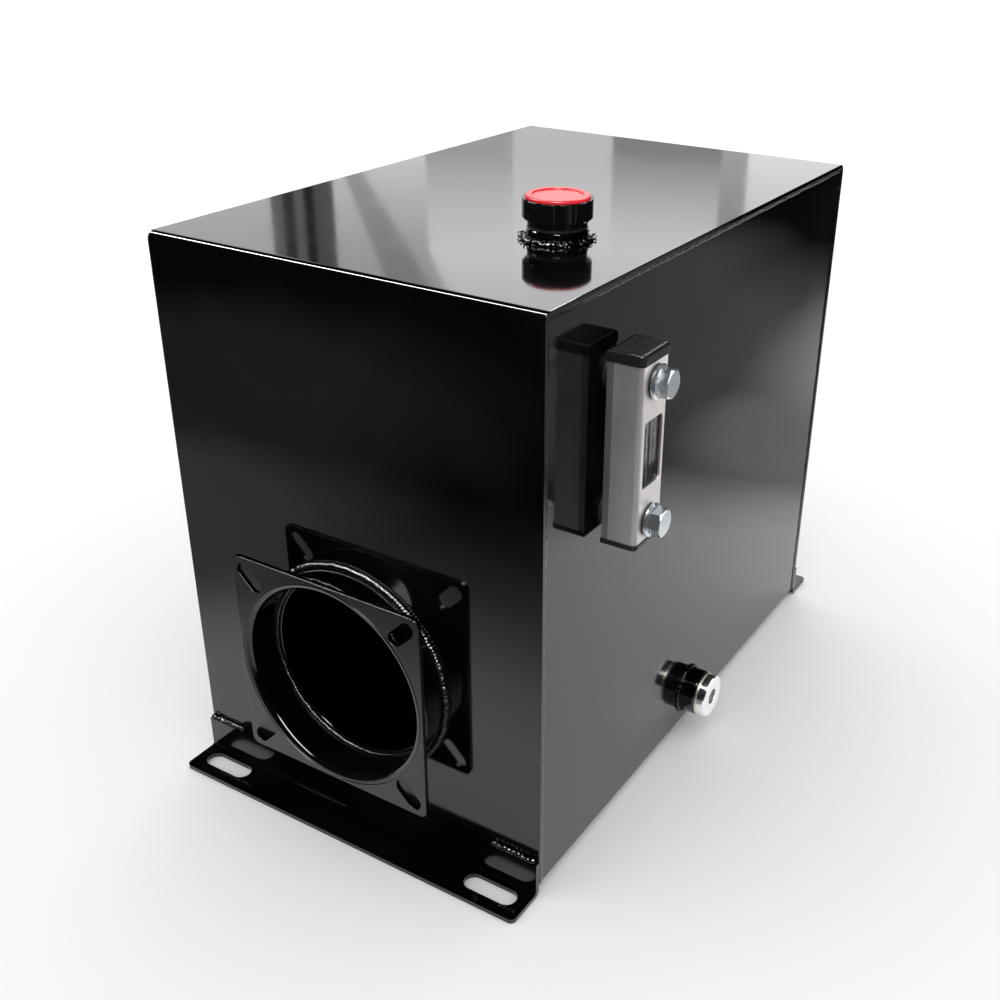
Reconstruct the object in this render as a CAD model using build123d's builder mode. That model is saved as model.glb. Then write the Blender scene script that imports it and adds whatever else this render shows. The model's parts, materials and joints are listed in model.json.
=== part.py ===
from build123d import *
import os
from math import radians, sqrt, tan

os.makedirs("parts", exist_ok=True)

# Welded steel hydraulic reservoir, millimetres, +Z up.
# The origin is on the feet's underside, midway between their four slots.
# -Y is the front wall with the pump neck, +X the side wall with gauge and drain.

# ---- driving dimensions -------------------------------------------------
tank_width = 250.0          # along X, over the cut edges of the folded sheet
tank_length = 385.0         # along Y, over the front and rear walls
tank_height = 335.0         # along Z, bottom edge to top face
sheet = 3.0                 # steel sheet thickness
bend_radius = 5.0           # outside radius of the folds
side_recess = 0.8           # side plates sit this far inside the folded sheet's edges

foot_drop = 7.0             # feet reach this far below the tank's bottom edge
foot_height = 24.0          # upright leg of the foot angle
foot_reach = 27.0           # flat leg, measured from the tank wall
foot_corner = 3.5           # rounded free corners of the flat leg
foot_outer_bend = 4.0
foot_inner_bend = 1.5
foot_slot = (34.0, 12.0)    # slot length along X, slot width
foot_slot_x = 101.0         # slot centres either side of the middle
foot_slot_out = 13.5        # slot centre line from the tank wall

neck_height = 102.0         # neck axis above the tank's bottom edge
neck_reach = 23.0           # front wall to the flange's sealing face
neck_outer = 63.5           # tube outside radius
neck_wall = 4.5
neck_lip = 4.0              # rounded mouth of the tube
port_radius = 56.0          # hole through the front wall behind the neck
flange_side = 130.0
flange_thick = 3.0
flange_corner = 4.5
flange_slot = (20.0, 9.0)   # slot length along the diagonal, slot width
flange_slot_radius = 75.0   # slot centres from the neck axis

filler_x = 64.0
filler_y = -82.0
filler_outer = 16.5         # weld neck outside radius
filler_bore = 13.2          # stands for the G 3/4 internal thread
filler_rise = 6.5           # weld neck above the tank's top
filler_depth = 3.0          # weld neck below the top sheet
filler_chamfer = 0.6
thread_pitch = 1.814        # 14 threads to the inch, on cap and plug
thread_depth = 0.9
thread_turns = 6
groove_start = 0.6          # middle of the first groove, in pitches from the tip
groove_half = 0.42          # half of a groove's width, in pitches
gasket_thick = 1.5
seat_gap = 0.05             # free height under a seal that lifts off
cap_shank = 13.1            # stands for the G 3/4 external thread
cap_shank_length = 12.0
cap_bore = 9.5
cap_collar = 16.0
cap_collar_height = 2.9
grip_radius = 18.8
grip_height = 11.0
grip_lobes = 12
grip_flute_radius = 4.0
grip_flute_depth = 0.7
grip_chamfer = 1.2          # lower rim
grip_round = 0.6            # upper rim
insert_radius = 17.4
insert_plug = 16.2
insert_plug_depth = 3.0
insert_rise = 1.7
insert_round = 1.2
insert_dish = 13.8          # shallow dish in the middle of the top
insert_dish_depth = 0.7
insert_dish_taper = 30.0
filter_thick = 6.0

gauge_y = -128.0
gauge_height = 250.0        # gauge middle above the tank's bottom edge
gauge_spacing = 76.0        # between the two gauge bolts
gauge_width = 28.0
gauge_length = 97.0         # aluminium profile without its end caps
gauge_standoff = 5.0        # wall to the back profile
gauge_back_depth = 3.8
gauge_depth = 20.0          # back and cover profile together
gauge_corner = 3.0
gauge_front = 1.2           # cover thickness in front of the lens
window = (19.0, 36.5)
window_corner = 2.5
lens_length = 58.0
lens_width = 20.4
lens_gap = 0.2              # around the lens in its pocket
lens_round = 1.5            # front corners of the lens
lens_chamfer = 1.0
lens_bore = 3.6             # oil column
reflector_thick = 0.9       # back of the dark tray that holds the lens
reflector_wall = 0.7        # its two sides
reflector_gap = 0.1
cap_top_height = 6.0
cap_top_round = 1.8
cap_bottom_height = 3.2
cap_bottom_round = 1.0
end_cap_overhang = 0.4
ridge_count = 8             # grip ridges on the top cap
ridge_pitch = 1.9
ridge_groove = (0.8, 0.5)   # groove width, depth
ridge_margin = 2.0          # plain rim at both ends of the grooves

bolt_radius = 5.0           # M10
bolt_hole = 5.3
bolt_flange = 9.2
bolt_flange_rim = 0.9        # straight rim below the flange's cone
bolt_flange_height = 2.0
bolt_across_flats = 14.0
bolt_head_height = 6.0
bolt_head_turns = (9.0, 48.0)  # degrees that the lower and the upper hexagon are turned by
bolt_face = 6.75            # flat round face inside the chamfer
bolt_chamfer_angle = 30.0
bolt_seal = 8.8
bolt_seal_thick = 1.5
wall_seal = 9.5
weld_nut_flats = 17.0
weld_nut_height = 8.0
weld_nut_gap = 0.05         # around the bolt, in place of a thread

drain_y = -4.0
drain_height = 21.0         # plug axis above the tank's bottom edge
boss_radius = 15.0
boss_proud = 11.5
boss_inside = 3.0
boss_chamfer = 0.8
drain_bore = 10.52          # stands for the G 1/2 internal thread
plug_shank = 10.45          # stands for the G 1/2 external thread
plug_shank_length = 12.0
plug_collar = 14.0
plug_collar_height = 5.5
plug_round = 1.2
plug_socket_flats = 10.0
plug_socket_depth = 7.0
washer_radius = 14.2
washer_thick = 1.5

# ---- derived places -----------------------------------------------------
bottom_z = foot_drop
top_z = bottom_z + tank_height
side_x = tank_width / 2 - side_recess
front_y = -tank_length / 2
neck_z = bottom_z + neck_height
flange_y = front_y - neck_reach
gauge_z = bottom_z + gauge_height
gauge_back_x = side_x + gauge_standoff
gauge_seam_x = gauge_back_x + gauge_back_depth
gauge_face_x = gauge_back_x + gauge_depth
drain_z = bottom_z + drain_height
bolt_heights = (gauge_z - gauge_spacing / 2, gauge_z + gauge_spacing / 2)


def finish(builder, name):
    """Label a finished sub-part and write its STEP file."""
    builder.part.label = name
    export_step(builder.part, f"parts/{name}.step")


def thread_groove(turn, radius):
    """Corners of the V groove of one turn, along local X from the shank's tip."""
    middle = (turn + groove_start) * thread_pitch
    half = groove_half * thread_pitch
    above = radius + 0.1  # cuts clear of the crest
    return (middle - half, above), (middle, radius - thread_depth), (middle + half, above)


def across_corners(flats):
    """Corner radius of a hexagon given across its flats."""
    return flats / sqrt(3)


# ---- tank weldment ------------------------------------------------------
# One sheet folded into front wall, top and rear wall.
with BuildPart() as wrap_sheet:
    with BuildSketch(Plane.YZ) as outline:
        with Locations((0, bottom_z + tank_height / 2)):
            Rectangle(tank_length, tank_height)
        fillet(outline.vertices().group_by(Axis.Y)[-1], bend_radius)
    extrude(amount=tank_width / 2, both=True)
    with BuildSketch(Plane.YZ) as hollow:
        with Locations((0, bottom_z + (tank_height - sheet) / 2)):
            Rectangle(tank_length - 2 * sheet, tank_height - sheet)
        fillet(hollow.vertices().group_by(Axis.Y)[-1], bend_radius - sheet)
    extrude(amount=tank_width / 2, both=True, mode=Mode.SUBTRACT)
    with BuildSketch(Plane.XZ.offset(-front_y - 2 * sheet)):
        with Locations((0, neck_z)):
            Circle(port_radius)
    extrude(amount=3 * sheet, mode=Mode.SUBTRACT)
    with BuildSketch(Plane.XY.offset(top_z - 2 * sheet)):
        with Locations((filler_x, filler_y)):
            Circle(filler_outer)
    extrude(amount=3 * sheet, mode=Mode.SUBTRACT)
finish(wrap_sheet, "wrap_sheet")

with BuildPart() as floor_plate:
    with BuildSketch(Plane.XY.offset(bottom_z)):
        Rectangle(2 * (side_x - sheet), tank_length - 2 * sheet)
    extrude(amount=sheet)
finish(floor_plate, "floor_plate")

# Side plates drop inside the folded sheet, their top corners following its bends.
for name, start_x in (("left_side_plate", -side_x), ("right_side_plate", side_x - sheet)):
    with BuildPart() as side_plate:
        with BuildSketch(Plane.YZ.offset(start_x)) as blank:
            with Locations((0, bottom_z + (tank_height - sheet) / 2)):
                Rectangle(tank_length - 2 * sheet, tank_height - sheet)
            fillet(blank.vertices().group_by(Axis.Y)[-1], bend_radius - sheet)
            if name == "right_side_plate":
                with Locations(*[(gauge_y, z) for z in bolt_heights]):
                    Circle(bolt_hole, mode=Mode.SUBTRACT)
                with Locations((drain_y, drain_z)):
                    Circle(boss_radius, mode=Mode.SUBTRACT)
        extrude(amount=sheet)
    finish(side_plate, name)

# Feet are lengths of folded angle as wide as the tank, slotted near both ends.
for name, side in (("front_foot", -1), ("rear_foot", 1)):
    wall_y = side * tank_length / 2
    with BuildPart() as foot:
        with BuildSketch(Plane.YZ) as angle:
            with BuildLine():
                Polyline(
                    (wall_y, 0),
                    (wall_y + side * foot_reach, 0),
                    (wall_y + side * foot_reach, sheet),
                    (wall_y + side * sheet, sheet),
                    (wall_y + side * sheet, foot_height),
                    (wall_y, foot_height),
                    close=True,
                )
            make_face()
            nearest_wall = angle.vertices().sort_by_distance((wall_y, 0))
            fillet(nearest_wall[0], foot_outer_bend)
            inner_bend = angle.vertices().sort_by_distance((wall_y + side * sheet, sheet))
            fillet(inner_bend[0], foot_inner_bend)
        extrude(amount=tank_width / 2, both=True)
        free_corners = foot.edges().filter_by(Axis.Z).sort_by(Axis.Y)
        fillet(free_corners[:2] if side < 0 else free_corners[-2:], foot_corner)
        with BuildSketch(Plane.XY):
            with Locations((foot_slot_x, wall_y + side * foot_slot_out),
                           (-foot_slot_x, wall_y + side * foot_slot_out)):
                SlotOverall(*foot_slot)
        extrude(amount=sheet, mode=Mode.SUBTRACT)
    finish(foot, name)

# The pump neck: a short tube on the front wall with a square flange at its mouth.
with BuildPart() as neck_tube:
    with BuildSketch(Plane.XZ.offset(-front_y)):
        with Locations((0, neck_z)):
            Circle(neck_outer)
            Circle(neck_outer - neck_wall, mode=Mode.SUBTRACT)
    extrude(amount=neck_reach)
    mouth = neck_tube.edges().filter_by(GeomType.CIRCLE).group_by(Axis.Y)[0]
    fillet(mouth.sort_by(SortBy.RADIUS)[0], neck_lip)
finish(neck_tube, "neck_tube")

with BuildPart() as neck_flange:
    with BuildSketch(Plane.XZ.offset(-flange_y - flange_thick)) as plate:
        with Locations((0, neck_z)):
            Rectangle(flange_side, flange_side)
        fillet(plate.vertices(), flange_corner)
        with Locations((0, neck_z)):
            Circle(neck_outer, mode=Mode.SUBTRACT)
            with PolarLocations(flange_slot_radius, 4, start_angle=45):
                SlotOverall(*flange_slot, mode=Mode.SUBTRACT)
    extrude(amount=flange_thick)
finish(neck_flange, "neck_flange")

# ---- filler with its breather cap ---------------------------------------
with BuildPart() as filler_neck:
    with BuildSketch(Plane.XY.offset(top_z - sheet - filler_depth)):
        with Locations((filler_x, filler_y)):
            Circle(filler_outer)
            Circle(filler_bore, mode=Mode.SUBTRACT)
    extrude(amount=filler_depth + sheet + filler_rise)
    rim = filler_neck.edges().filter_by(GeomType.CIRCLE).group_by(Axis.Z)[-1]
    chamfer(rim, filler_chamfer)
finish(filler_neck, "filler_neck")

gasket_z = top_z + filler_rise + seat_gap
cap_z = gasket_z + gasket_thick
grip_z = cap_z + cap_collar_height
grip_top_z = grip_z + grip_height

with BuildPart() as cap_gasket:
    with BuildSketch(Plane.XY.offset(gasket_z)):
        with Locations((filler_x, filler_y)):
            Circle(cap_collar)
            Circle(filler_bore, mode=Mode.SUBTRACT)
    extrude(amount=gasket_thick)
finish(cap_gasket, "cap_gasket")

with BuildPart() as cap_body:
    with BuildSketch(Plane.XY.offset(cap_z - cap_shank_length)):
        with Locations((filler_x, filler_y)):
            Circle(cap_shank)
    extrude(amount=cap_shank_length)
    with BuildSketch(Plane.XY.offset(cap_z)):
        with Locations((filler_x, filler_y)):
            Circle(cap_collar)
    extrude(amount=cap_collar_height)
    with BuildSketch(Plane.XY.offset(grip_z)):
        with Locations((filler_x, filler_y)):
            Circle(grip_radius)
    extrude(amount=grip_height)
    grip_rims = cap_body.edges().filter_by(GeomType.CIRCLE).sort_by(SortBy.RADIUS)[-2:]
    chamfer(grip_rims.sort_by(Axis.Z)[0], grip_chamfer)
    fillet(cap_body.edges().filter_by(GeomType.CIRCLE).group_by(Axis.Z)[-1], grip_round)
    # shallow flutes leave the raised ribs that the fingers hold
    with BuildSketch(Plane.XY.offset(grip_z)):
        with Locations((filler_x, filler_y)):
            with PolarLocations(grip_radius + grip_flute_radius - grip_flute_depth, grip_lobes):
                Circle(grip_flute_radius)
    extrude(amount=grip_height, mode=Mode.SUBTRACT)
    # seat of the top insert, then the breathing bore down through the shank
    with BuildSketch(Plane.XY.offset(grip_top_z - insert_plug_depth)):
        with Locations((filler_x, filler_y)):
            Circle(insert_plug)
    extrude(amount=insert_plug_depth, mode=Mode.SUBTRACT)
    with BuildSketch(Plane.XY.offset(cap_z - cap_shank_length)):
        with Locations((filler_x, filler_y)):
            Circle(cap_bore)
    extrude(amount=cap_shank_length + cap_collar_height + grip_height, mode=Mode.SUBTRACT)
    shank_foot = (filler_x, filler_y, cap_z - cap_shank_length)
    with BuildSketch(Plane(origin=shank_foot, x_dir=(0, 0, 1), z_dir=(0, 1, 0))):
        for turn in range(thread_turns):
            Polygon(*thread_groove(turn, cap_shank), align=None)
    revolve(axis=Axis(shank_foot, (0, 0, 1)), mode=Mode.SUBTRACT)
finish(cap_body, "cap_body")

with BuildPart() as cap_insert:
    with BuildSketch(Plane.XY.offset(grip_top_z - insert_plug_depth)):
        with Locations((filler_x, filler_y)):
            Circle(insert_plug)
    extrude(amount=insert_plug_depth)
    with BuildSketch(Plane.XY.offset(grip_top_z)):
        with Locations((filler_x, filler_y)):
            Circle(insert_radius)
    extrude(amount=insert_rise)
    crown = cap_insert.edges().filter_by(GeomType.CIRCLE).group_by(Axis.Z)[-1]
    fillet(crown, insert_round)
    with BuildSketch(Plane.XY.offset(grip_top_z + insert_rise)):
        with Locations((filler_x, filler_y)):
            Circle(insert_dish)
    extrude(amount=-insert_dish_depth, taper=insert_dish_taper, mode=Mode.SUBTRACT)
finish(cap_insert, "cap_insert")

with BuildPart() as cap_filter:
    with BuildSketch(Plane.XY.offset(grip_z - cap_collar_height)):
        with Locations((filler_x, filler_y)):
            Circle(cap_bore)
    extrude(amount=filter_thick)
finish(cap_filter, "cap_filter")

# ---- sight gauge --------------------------------------------------------
with BuildPart() as gauge_back:
    with BuildSketch(Plane.YZ.offset(gauge_back_x)):
        with Locations((gauge_y, gauge_z)):
            Rectangle(gauge_width, gauge_length)
        with Locations(*[(gauge_y, z) for z in bolt_heights]):
            Circle(bolt_hole, mode=Mode.SUBTRACT)
    extrude(amount=gauge_back_depth)
finish(gauge_back, "gauge_back")

tray_width = lens_width + 2 * (reflector_gap + reflector_wall)
with BuildPart() as gauge_cover:
    with BuildSketch(Plane.YZ.offset(gauge_seam_x)):
        with Locations((gauge_y, gauge_z)):
            Rectangle(gauge_width, gauge_length)
    extrude(amount=gauge_depth - gauge_back_depth)
    long_edges = gauge_cover.edges().filter_by(Axis.Z).group_by(Axis.X)[-1]
    fillet(long_edges, gauge_corner)
    with BuildSketch(Plane.YZ.offset(gauge_seam_x)):
        with Locations((gauge_y, gauge_z)):
            Rectangle(tray_width + 2 * lens_gap, lens_length + 2 * lens_gap)
    extrude(amount=gauge_depth - gauge_back_depth - gauge_front, mode=Mode.SUBTRACT)
    with BuildSketch(Plane.YZ.offset(gauge_seam_x)) as opening:
        with Locations((gauge_y, gauge_z)):
            Rectangle(*window)
        fillet(opening.vertices(), window_corner)
        with Locations(*[(gauge_y, z) for z in bolt_heights]):
            Circle(bolt_hole)
    extrude(amount=gauge_depth, mode=Mode.SUBTRACT)
finish(gauge_cover, "gauge_cover")

# The clear lens has a column bore, joined to both bolts by a hole at each end.
lens_back_x = gauge_seam_x + reflector_thick + reflector_gap
lens_face_x = gauge_face_x - gauge_front - lens_gap
with BuildPart() as gauge_lens:
    with BuildSketch(Plane.YZ.offset(lens_back_x)):
        with Locations((gauge_y, gauge_z)):
            Rectangle(lens_width, lens_length)
    extrude(amount=lens_face_x - lens_back_x)
    lens_front = gauge_lens.edges().filter_by(Axis.Z).group_by(Axis.X)[-1]
    fillet(lens_front, lens_round)
    lens_ends = gauge_lens.faces().filter_by(Axis.Z).edges().group_by(Axis.X)[-1]
    chamfer(lens_ends, lens_chamfer)
    with BuildSketch(Plane.XY.offset(gauge_z - lens_length / 2)):
        with Locations(((lens_back_x + lens_face_x) / 2, gauge_y)):
            Circle(lens_bore)
    extrude(amount=lens_length, mode=Mode.SUBTRACT)
finish(gauge_lens, "gauge_lens")

with BuildPart() as gauge_reflector:
    with BuildSketch(Plane.YZ.offset(gauge_seam_x)):
        with Locations((gauge_y, gauge_z)):
            Rectangle(tray_width, lens_length)
    extrude(amount=lens_face_x - gauge_seam_x)
    with BuildSketch(Plane.YZ.offset(gauge_seam_x + reflector_thick)):
        with Locations((gauge_y, gauge_z)):
            Rectangle(tray_width - 2 * reflector_wall, lens_length)
    extrude(amount=gauge_depth, mode=Mode.SUBTRACT)
finish(gauge_reflector, "gauge_reflector")

# End caps cover both profiles; the top one has fine grip ridges.
cap_side = end_cap_overhang + gauge_width / 2
for name, start_z, height in (
    ("gauge_top_cap", gauge_z + gauge_length / 2, cap_top_height),
    ("gauge_bottom_cap", gauge_z - gauge_length / 2 - cap_bottom_height, cap_bottom_height),
):
    with BuildPart() as end_cap:
        with BuildSketch(Plane.XY.offset(start_z)) as cap_outline:
            with Locations((gauge_back_x + gauge_depth / 2, gauge_y)):
                Rectangle(gauge_depth + 2 * end_cap_overhang, 2 * cap_side)
            fillet(cap_outline.vertices().group_by(Axis.X)[-1], gauge_corner)
        extrude(amount=height)
        if name == "gauge_top_cap":
            fillet(end_cap.faces().sort_by(Axis.Z)[-1].edges(), cap_top_round)
            with BuildSketch(Plane.XY.offset(start_z + height)):
                with Locations((gauge_back_x + gauge_depth / 2, gauge_y)):
                    with GridLocations(ridge_pitch, 1, ridge_count, 1):
                        Rectangle(ridge_groove[0], gauge_width - 2 * ridge_margin)
            extrude(amount=-ridge_groove[1], mode=Mode.SUBTRACT)
        else:
            fillet(end_cap.faces().sort_by(Axis.Z)[0].edges(), cap_bottom_round)
    finish(end_cap, name)

with BuildPart() as gauge_wall_seals:
    with BuildSketch(Plane.YZ.offset(side_x)):
        with Locations(*[(gauge_y, z) for z in bolt_heights]):
            Circle(wall_seal)
            Circle(bolt_hole, mode=Mode.SUBTRACT)
    extrude(amount=gauge_standoff)
finish(gauge_wall_seals, "gauge_wall_seals")

with BuildPart() as gauge_bolt_seals:
    with BuildSketch(Plane.YZ.offset(gauge_face_x)):
        with Locations(*[(gauge_y, z) for z in bolt_heights]):
            Circle(bolt_seal)
            Circle(bolt_hole, mode=Mode.SUBTRACT)
    extrude(amount=bolt_seal_thick)
finish(gauge_bolt_seals, "gauge_bolt_seals")

# Hex flange bolts run through the gauge and the wall into nuts welded inside.
bolt_seat_x = gauge_face_x + bolt_seal_thick
bolt_end_x = side_x - sheet - weld_nut_height
with BuildPart() as gauge_bolts:
    with BuildSketch(Plane.YZ.offset(bolt_end_x)):
        with Locations(*[(gauge_y, z) for z in bolt_heights]):
            Circle(bolt_radius)
    extrude(amount=bolt_seat_x - bolt_end_x)
    with BuildSketch(Plane.YZ.offset(bolt_seat_x)):
        with Locations(*[(gauge_y, z) for z in bolt_heights]):
            Circle(bolt_flange)
    extrude(amount=bolt_flange_rim)
    with BuildSketch(Plane.YZ.offset(bolt_seat_x + bolt_flange_rim)):
        with Locations(*[(gauge_y, z) for z in bolt_heights]):
            Circle(bolt_flange)
    extrude(amount=bolt_flange_height - bolt_flange_rim, taper=45)
    bolt_top_x = bolt_seat_x + bolt_flange_height + bolt_head_height
    past_corners = across_corners(bolt_across_flats) + 0.5
    chamfer_drop = (past_corners - bolt_face) * tan(radians(bolt_chamfer_angle))
    for z, turn in zip(bolt_heights, bolt_head_turns):
        with BuildSketch(Plane.YZ.offset(bolt_seat_x + bolt_flange_rim)):
            with Locations((gauge_y, z)):
                RegularPolygon(across_corners(bolt_across_flats), 6, rotation=turn)
        extrude(amount=bolt_top_x - bolt_seat_x - bolt_flange_rim)
        bolt_top = (bolt_top_x, gauge_y, z)
        with BuildSketch(Plane(origin=bolt_top, x_dir=(1, 0, 0), z_dir=(0, -1, 0))):
            Polygon((0, bolt_face), (0, past_corners), (-chamfer_drop, past_corners), align=None)
        revolve(axis=Axis(bolt_top, (1, 0, 0)), mode=Mode.SUBTRACT)
finish(gauge_bolts, "gauge_bolts")

with BuildPart() as gauge_weld_nuts:
    with BuildSketch(Plane.YZ.offset(side_x - sheet - weld_nut_height)):
        with Locations(*[(gauge_y, z) for z in bolt_heights]):
            RegularPolygon(across_corners(weld_nut_flats), 6)
            Circle(bolt_radius + weld_nut_gap, mode=Mode.SUBTRACT)
    extrude(amount=weld_nut_height)
finish(gauge_weld_nuts, "gauge_weld_nuts")

# ---- drain --------------------------------------------------------------
with BuildPart() as drain_boss:
    with BuildSketch(Plane.YZ.offset(side_x - sheet - boss_inside)):
        with Locations((drain_y, drain_z)):
            Circle(boss_radius)
            Circle(drain_bore, mode=Mode.SUBTRACT)
    extrude(amount=boss_inside + sheet + boss_proud)
    boss_rim = drain_boss.edges().filter_by(GeomType.CIRCLE).group_by(Axis.X)[-1]
    chamfer(boss_rim.sort_by(SortBy.RADIUS)[-1], boss_chamfer)
finish(drain_boss, "drain_boss")

washer_x = side_x + boss_proud + seat_gap
plug_x = washer_x + washer_thick
with BuildPart() as drain_washer:
    with BuildSketch(Plane.YZ.offset(washer_x)):
        with Locations((drain_y, drain_z)):
            Circle(washer_radius)
            Circle(drain_bore, mode=Mode.SUBTRACT)
    extrude(amount=washer_thick)
finish(drain_washer, "drain_washer")

with BuildPart() as drain_plug:
    with BuildSketch(Plane.YZ.offset(plug_x - plug_shank_length)):
        with Locations((drain_y, drain_z)):
            Circle(plug_shank)
    extrude(amount=plug_shank_length)
    with BuildSketch(Plane.YZ.offset(plug_x)):
        with Locations((drain_y, drain_z)):
            Circle(plug_collar)
    extrude(amount=plug_collar_height)
    collar_rim = drain_plug.edges().filter_by(GeomType.CIRCLE).group_by(Axis.X)[-1]
    fillet(collar_rim, plug_round)
    with BuildSketch(Plane.YZ.offset(plug_x + plug_collar_height)):
        with Locations((drain_y, drain_z)):
            RegularPolygon(across_corners(plug_socket_flats), 6, rotation=30)
    extrude(amount=-plug_socket_depth, mode=Mode.SUBTRACT)
    plug_tip = (plug_x - plug_shank_length, drain_y, drain_z)
    with BuildSketch(Plane(origin=plug_tip, x_dir=(1, 0, 0), z_dir=(0, -1, 0))):
        for turn in range(thread_turns):
            Polygon(*thread_groove(turn, plug_shank), align=None)
    revolve(axis=Axis(plug_tip, (1, 0, 0)), mode=Mode.SUBTRACT)
finish(drain_plug, "drain_plug")
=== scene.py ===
import json
from math import cos, pi, radians, sin, tau

import bmesh
import bpy
from mathutils import Matrix, Vector


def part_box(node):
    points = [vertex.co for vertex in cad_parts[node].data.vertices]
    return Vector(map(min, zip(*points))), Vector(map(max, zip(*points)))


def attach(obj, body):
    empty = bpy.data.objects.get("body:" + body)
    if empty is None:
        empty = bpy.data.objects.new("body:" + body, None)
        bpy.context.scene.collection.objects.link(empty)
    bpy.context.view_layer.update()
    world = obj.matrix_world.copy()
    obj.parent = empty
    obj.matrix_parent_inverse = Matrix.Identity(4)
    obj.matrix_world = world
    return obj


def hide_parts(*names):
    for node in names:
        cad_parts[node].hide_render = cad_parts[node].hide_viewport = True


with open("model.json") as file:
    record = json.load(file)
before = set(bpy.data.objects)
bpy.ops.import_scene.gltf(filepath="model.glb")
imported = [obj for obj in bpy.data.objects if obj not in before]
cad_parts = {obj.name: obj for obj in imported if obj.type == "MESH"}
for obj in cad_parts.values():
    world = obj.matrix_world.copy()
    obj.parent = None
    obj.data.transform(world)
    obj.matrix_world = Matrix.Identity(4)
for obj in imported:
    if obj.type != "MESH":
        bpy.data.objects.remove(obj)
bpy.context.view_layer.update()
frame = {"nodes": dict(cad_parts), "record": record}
mm = 0.001

slotOf = {part["node"]: part["material_slot"] for part in frame["record"]["subparts"]}
bodyOf = {}
for bodyName, members in frame["record"]["behaviour"]["bodies"].items():
    for member in members:
        bodyOf[member] = bodyName


class Wire:
    # an output socket, on which sums add Math nodes
    def __init__(self, tree, socket):
        self.tree = tree
        self.socket = socket

    def math(self, operation, first, second=0.0):
        return self.tree.add("ShaderNodeMath", {"operation": operation}, {0: first, 1: second})

    def __add__(self, other):
        return self.math("ADD", self, other)

    def __sub__(self, other):
        return self.math("SUBTRACT", self, other)

    def __rsub__(self, other):
        return self.math("SUBTRACT", other, self)

    def __mul__(self, other):
        return self.math("MULTIPLY", self, other)

    def __truediv__(self, other):
        return self.math("DIVIDE", self, other)

    def __pow__(self, other):
        return self.math("POWER", self, other)

    def __abs__(self):
        return self.math("ABSOLUTE", self)


class Tree:
    # a node tree that is being built, for a material or for geometry
    def __init__(self, nodeTree):
        self.nodeTree = nodeTree

    def add(self, kind, settings=None, inputs=None, output=0):
        node = self.nodeTree.nodes.new(kind)
        for name, value in (settings or {}).items():
            if name == "stops":
                self.setStops(node.color_ramp.elements, value)
            else:
                setattr(node, name, value)
        for name, value in (inputs or {}).items():
            self.feed(node.inputs[name], value)
        return Wire(self, node.outputs[output]) if node.outputs else None

    def feed(self, socket, value):
        if isinstance(value, Wire):
            self.nodeTree.links.new(value.socket, socket)
        else:
            socket.default_value = value

    def setStops(self, elements, stops):
        while len(elements) < len(stops):
            elements.new(0.5)
        for element, (place, shade) in zip(elements, stops):
            element.position = place
            element.color = (shade, shade, shade, 1.0)


def vectorMath(tree, operation, first, second):
    return tree.add("ShaderNodeVectorMath", {"operation": operation}, {0: first, 1: second})


def scaled(tree, vector, amount):
    return tree.add("ShaderNodeVectorMath", {"operation": "SCALE"}, {0: vector, "Scale": amount})


def length(tree, vector):
    return tree.add("ShaderNodeVectorMath", {"operation": "LENGTH"}, {0: vector}, output="Value")


def sine(value):
    return value.math("SINE", value)


def largest(first, second):
    return first.math("MAXIMUM", first, second)


def objectPlace(tree, centre=(0, 0, 0), scale=(1, 1, 1)):
    place = tree.add("ShaderNodeTexCoord", output="Object")
    return vectorMath(tree, "MULTIPLY", vectorMath(tree, "SUBTRACT", place, centre), scale)


def noise(tree, place, size, detail=2.0, distortion=0.0):
    # size is the width of one blotch, in metres
    return tree.add("ShaderNodeTexNoise", {}, {
        "Vector": place, "Scale": 1 / size, "Detail": detail, "Distortion": distortion})


def blend(tree, amount, first, second):
    return tree.add("ShaderNodeMix", {"data_type": "RGBA"}, {
        "Factor": amount, 6: (*first, 1.0), 7: (*second, 1.0)}, output=2)


def band(tree, value, low, high):
    # 0 below low, 1 above high
    return tree.add("ShaderNodeMapRange", {"clamp": True}, {
        "Value": value, "From Min": low, "From Max": high})


def bumped(tree, *layers):
    # each layer is a height from 0 to 1 and its depth in metres
    normal = None
    for height, depth in layers:
        inputs = {"Strength": 1.0, "Distance": depth, "Height": height}
        if normal:
            inputs["Normal"] = normal
        normal = tree.add("ShaderNodeBump", {}, inputs)
    return normal


def surfaceMaterial(name, build):
    made = bpy.data.materials.new(name)
    made.use_nodes = True
    made.node_tree.nodes.clear()
    tree = Tree(made.node_tree)
    tree.add("ShaderNodeOutputMaterial", {}, {"Surface": build(tree)})
    return made


def material(name, build, look):
    # build gives the inputs of a Principled BSDF
    return surfaceMaterial(name, lambda tree: tree.add(
        "ShaderNodeBsdfPrincipled", {}, build(tree, look)))


paintLook = {
    "black": (0.0010, 0.0010, 0.0011),
    "haze": (0.0035, 0.0035, 0.0037),
    "index": 1.5,
    "gloss": 0.062,
    "patchSize": 70 * mm,    # handled patches
    "patchRange": (0.45, 0.75),
    "smudge": 0.05,          # how much duller the handled patches are
    "speckSize": 0.9 * mm,
    "speckRange": (0.78, 0.84),
    "speckDulling": 0.2,
    "peelSize": 2.6 * mm,    # orange peel
    "peelDepth": 0.005 * mm,
    "waveSize": 90 * mm,     # sheet pulled by the welds
    "waveDepth": 0.045 * mm,
}


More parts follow.
